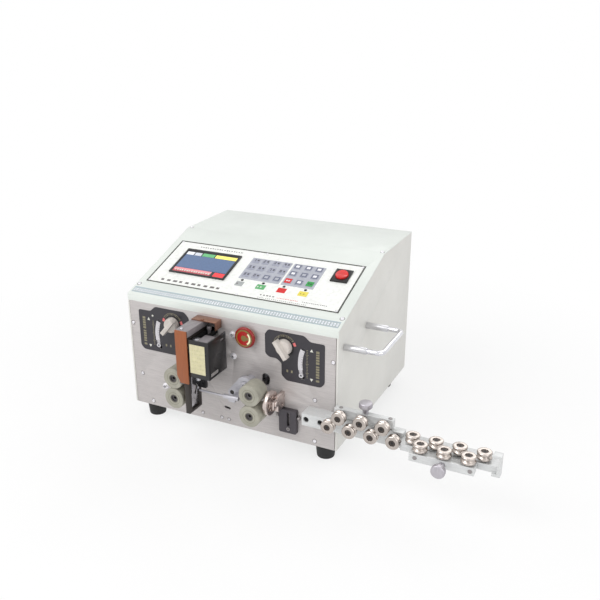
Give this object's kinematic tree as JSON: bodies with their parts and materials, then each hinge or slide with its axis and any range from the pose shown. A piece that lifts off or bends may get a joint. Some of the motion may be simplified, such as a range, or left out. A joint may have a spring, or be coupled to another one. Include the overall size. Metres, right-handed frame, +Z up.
{
  "type": "wire cutting machine",
  "caption": "Bench machine that feeds wire through powered rollers, cuts it with two sliding blades, with a key panel and a roller straightener at its inlet.",
  "frame": {"origin": "on the floor under the middle of the case, in the plane of the four feet", "axes": "+Z up; +X along the case width towards the straightener, to the right seen from the front; the front plate faces -Y"},
  "size_m": [0.733, 0.4419, 0.3097],
  "materials": {
    "paint": "fine satin powder coat",
    "plate_steel": "brushed, matt",
    "foot_rubber": "matt",
    "screw_zinc": "bright zinc",
    "handle_chrome": "polished",
    "panel_film": "satin printed film",
    "display_plastic": "gloss screen in a dark frame",
    "key_film": "satin",
    "switch_black": "fine texture",
    "switch_red": "gloss",
    "control_dark": "satin printed plate",
    "collar_yellow": "satin",
    "stop_red": "gloss",
    "motor_black": "satin black",
    "supply_metal": "perforated sheet",
    "board_green": "solder mask",
    "fitting_black": "matt",
    "column_grey": "dark anodised",
    "strip_brown": "satin",
    "cover_black": "semi-gloss",
    "guard_copper": "copper-coloured, semi-bright",
    "frame_black": "black oxide",
    "belt_rubber": "ribbed",
    "screw_steel": "turned",
    "knife_steel": "black holder with a ground blade",
    "knob_ivory": "satin",
    "carriage_steel": "milled",
    "tyre_olive": "matt urethane",
    "arm_silver": "satin",
    "turret_nickel": "nickel plated",
    "block_black": "black anodised",
    "rail_aluminium": "fine milled",
    "roller_nickel": "nickel plated",
    "head_silver": "turned"
  },
  "bodies": {
    "root": {"base_tray": "paint", "front_plate": "plate_steel", "side_panels": "paint", "top_cover": "paint", "rear_panel": "paint", "rubber_feet": "foot_rubber", "case_screws": "screw_zinc", "carry_handles": "handle_chrome", "panel_sheet": "panel_film", "display_unit": "display_plastic", "panel_keys": "key_film", "switch_frame": "switch_black", "control_plates": "control_dark", "stop_collar": "collar_yellow", "drive_motors": "motor_black", "power_supply": "supply_metal", "control_board": "board_green", "rear_fittings": "fitting_black", "cutter_column": "column_grey", "front_strip": "strip_brown", "safety_cover": "cover_black", "belt_guard": "guard_copper", "knife_frame": "frame_black", "drive_belt": "belt_rubber", "turret_bracket": "turret_nickel", "slotted_block": "block_black", "straightener_rails": "rail_aluminium"},
    "power_rocker": {"power_rocker": "switch_red"},
    "stop_button": {"stop_button": "stop_red"},
    "lead_screw": {"lead_screw": "screw_steel"},
    "upper_knife": {"upper_knife": "knife_steel"},
    "lower_knife": {"lower_knife": "knife_steel"},
    "left_pressure_knob": {"left_pressure_knob": "knob_ivory"},
    "right_pressure_knob": {"right_pressure_knob": "knob_ivory"},
    "left_carriage": {"left_carriage": "carriage_steel"},
    "right_carriage": {"right_carriage": "carriage_steel"},
    "left_upper_feed_roller": {"left_upper_feed_roller": "tyre_olive"},
    "right_upper_feed_roller": {"right_upper_feed_roller": "tyre_olive"},
    "left_lower_feed_roller": {"left_lower_feed_roller": "tyre_olive"},
    "right_lower_feed_roller": {"right_lower_feed_roller": "tyre_olive"},
    "guide_arm": {"guide_arm": "arm_silver"},
    "turret_disc": {"turret_disc": "turret_nickel"},
    "upper_slide_block": {"upper_slide_block": "rail_aluminium"},
    "front_slide_block": {"front_slide_block": "rail_aluminium"},
    "upper_press_screw": {"upper_press_screw": "head_silver"},
    "front_press_screw": {"front_press_screw": "head_silver"},
    "bottom_roller_1": {"bottom_roller_1": "roller_nickel"},
    "bottom_roller_2": {"bottom_roller_2": "roller_nickel"},
    "bottom_roller_3": {"bottom_roller_3": "roller_nickel"},
    "bottom_roller_4": {"bottom_roller_4": "roller_nickel"},
    "top_roller_1": {"top_roller_1": "roller_nickel"},
    "top_roller_2": {"top_roller_2": "roller_nickel"},
    "top_roller_3": {"top_roller_3": "roller_nickel"},
    "rear_roller_1": {"rear_roller_1": "roller_nickel"},
    "rear_roller_2": {"rear_roller_2": "roller_nickel"},
    "rear_roller_3": {"rear_roller_3": "roller_nickel"},
    "rear_roller_4": {"rear_roller_4": "roller_nickel"},
    "front_roller_1": {"front_roller_1": "roller_nickel"},
    "front_roller_2": {"front_roller_2": "roller_nickel"},
    "front_roller_3": {"front_roller_3": "roller_nickel"}
  },
  "joints": [
    {"name": "rocker_tilt", "type": "hinge", "parent": "root", "child": "power_rocker", "pos_m": [0.1525, -0.04956, 0.28423], "axis": [1, 0, 0], "range_deg": [-8, 8]},
    {"name": "stop_press", "type": "slide", "parent": "root", "child": "stop_button", "axis": [0, 1, 0], "range_m": [0, 0.004]},
    {"name": "lead_screw_turn", "type": "hinge", "parent": "root", "child": "lead_screw", "pos_m": [-0.026, -0.227, 0.158], "axis": [0, 0, 1], "range_deg": [-72.1, 432.1]},
    {"name": "upper_knife_slide", "type": "slide", "parent": "root", "child": "upper_knife", "axis": [0, 0, 1], "range_m": [-0.012, 0.002]},
    {"name": "lower_knife_slide", "type": "slide", "parent": "root", "child": "lower_knife", "axis": [0, 0, 1], "range_m": [-0.0021, 0.0121]},
    {"name": "left_knob_turn", "type": "hinge", "parent": "root", "child": "left_pressure_knob", "pos_m": [-0.1075, -0.175, 0.197], "axis": [0, -1, 0], "range_deg": [-0.1, 70.1]},
    {"name": "left_carriage_lift", "type": "slide", "parent": "root", "child": "left_carriage", "axis": [0, 0, 1], "range_m": [0, 0.00688]},
    {"name": "left_lower_feed_spin", "type": "hinge", "parent": "root", "child": "left_lower_feed_roller", "pos_m": [-0.072, -0.2195, 0.09045], "axis": [0, -1, 0], "continuous": true},
    {"name": "left_upper_feed_spin", "type": "hinge", "parent": "left_carriage", "child": "left_upper_feed_roller", "pos_m": [-0.072, -0.2195, 0.12755], "axis": [0, -1, 0], "continuous": true},
    {"name": "right_knob_turn", "type": "hinge", "parent": "root", "child": "right_pressure_knob", "pos_m": [0.1075, -0.175, 0.197], "axis": [0, -1, 0], "range_deg": [-0.1, 70.1]},
    {"name": "right_carriage_lift", "type": "slide", "parent": "root", "child": "right_carriage", "axis": [0, 0, 1], "range_m": [0, 0.00688]},
    {"name": "right_lower_feed_spin", "type": "hinge", "parent": "root", "child": "right_lower_feed_roller", "pos_m": [0.072, -0.2195, 0.09045], "axis": [0, -1, 0], "continuous": true},
    {"name": "right_upper_feed_spin", "type": "hinge", "parent": "right_carriage", "child": "right_upper_feed_roller", "pos_m": [0.072, -0.2195, 0.12755], "axis": [0, -1, 0], "continuous": true},
    {"name": "guide_arm_swing", "type": "hinge", "parent": "root", "child": "guide_arm", "pos_m": [0.0455, -0.195, 0.1255], "axis": [0, 1, 0], "range_deg": [0, 12]},
    {"name": "turret_turn", "type": "hinge", "parent": "root", "child": "turret_disc", "pos_m": [0.096, -0.208, 0.109], "axis": [1, 0, 0], "continuous": true},
    {"name": "upper_press_turn", "type": "hinge", "parent": "upper_slide_block", "child": "upper_press_screw", "pos_m": [0.256, -0.198, 0.128], "axis": [0, 0, 1], "range_deg": [-721, 1441]},
    {"name": "upper_block_slide", "type": "slide", "parent": "root", "child": "upper_slide_block", "axis": [0, 0, 1], "range_m": [-0.003, 0.006]},
    {"name": "front_press_turn", "type": "hinge", "parent": "front_slide_block", "child": "front_press_screw", "pos_m": [0.3885, -0.245, 0.0945], "axis": [0, -1, 0], "range_deg": [-721, 1201]},
    {"name": "front_block_slide", "type": "slide", "parent": "root", "child": "front_slide_block", "axis": [0, -1, 0], "range_m": [-0.003, 0.005]},
    {"name": "bottom_roller_1_spin", "type": "hinge", "parent": "root", "child": "bottom_roller_1", "pos_m": [0.2035, -0.2195, 0.099], "axis": [0, -1, 0], "continuous": true},
    {"name": "bottom_roller_2_spin", "type": "hinge", "parent": "root", "child": "bottom_roller_2", "pos_m": [0.2385, -0.2195, 0.099], "axis": [0, -1, 0], "continuous": true},
    {"name": "bottom_roller_3_spin", "type": "hinge", "parent": "root", "child": "bottom_roller_3", "pos_m": [0.2735, -0.2195, 0.099], "axis": [0, -1, 0], "continuous": true},
    {"name": "bottom_roller_4_spin", "type": "hinge", "parent": "root", "child": "bottom_roller_4", "pos_m": [0.3085, -0.2195, 0.099], "axis": [0, -1, 0], "continuous": true},
    {"name": "top_roller_1_spin", "type": "hinge", "parent": "upper_slide_block", "child": "top_roller_1", "pos_m": [0.221, -0.2195, 0.1178], "axis": [0, -1, 0], "continuous": true},
    {"name": "top_roller_2_spin", "type": "hinge", "parent": "upper_slide_block", "child": "top_roller_2", "pos_m": [0.256, -0.2195, 0.1178], "axis": [0, -1, 0], "continuous": true},
    {"name": "top_roller_3_spin", "type": "hinge", "parent": "upper_slide_block", "child": "top_roller_3", "pos_m": [0.291, -0.2195, 0.1178], "axis": [0, -1, 0], "continuous": true},
    {"name": "rear_roller_1_spin", "type": "hinge", "parent": "root", "child": "rear_roller_1", "pos_m": [0.336, -0.212, 0.1095], "axis": [0, 0, 1], "continuous": true},
    {"name": "rear_roller_2_spin", "type": "hinge", "parent": "root", "child": "rear_roller_2", "pos_m": [0.371, -0.212, 0.1095], "axis": [0, 0, 1], "continuous": true},
    {"name": "rear_roller_3_spin", "type": "hinge", "parent": "root", "child": "rear_roller_3", "pos_m": [0.406, -0.212, 0.1095], "axis": [0, 0, 1], "continuous": true},
    {"name": "rear_roller_4_spin", "type": "hinge", "parent": "root", "child": "rear_roller_4", "pos_m": [0.441, -0.212, 0.1095], "axis": [0, 0, 1], "continuous": true},
    {"name": "front_roller_1_spin", "type": "hinge", "parent": "front_slide_block", "child": "front_roller_1", "pos_m": [0.3535, -0.2325, 0.1095], "axis": [0, 0, 1], "continuous": true},
    {"name": "front_roller_2_spin", "type": "hinge", "parent": "front_slide_block", "child": "front_roller_2", "pos_m": [0.3885, -0.2325, 0.1095], "axis": [0, 0, 1], "continuous": true},
    {"name": "front_roller_3_spin", "type": "hinge", "parent": "front_slide_block", "child": "front_roller_3", "pos_m": [0.4235, -0.2325, 0.1095], "axis": [0, 0, 1], "continuous": true}
  ],
  "couplings": [
    {"joint": "lead_screw_turn", "follows": "upper_knife_slide", "rad_per_m": -628.32},
    {"joint": "lower_knife_slide", "follows": "upper_knife_slide", "ratio": -1},
    {"joint": "left_knob_turn", "follows": "left_carriage_lift", "rad_per_m": 177.5},
    {"joint": "left_upper_feed_spin", "follows": "left_lower_feed_spin", "ratio": -1},
    {"joint": "right_knob_turn", "follows": "right_carriage_lift", "rad_per_m": 177.5},
    {"joint": "right_upper_feed_spin", "follows": "right_lower_feed_spin", "ratio": -1},
    {"joint": "upper_press_turn", "follows": "upper_block_slide", "rad_per_m": 4188.8},
    {"joint": "front_press_turn", "follows": "front_block_slide", "rad_per_m": 4188.8}
  ]
}
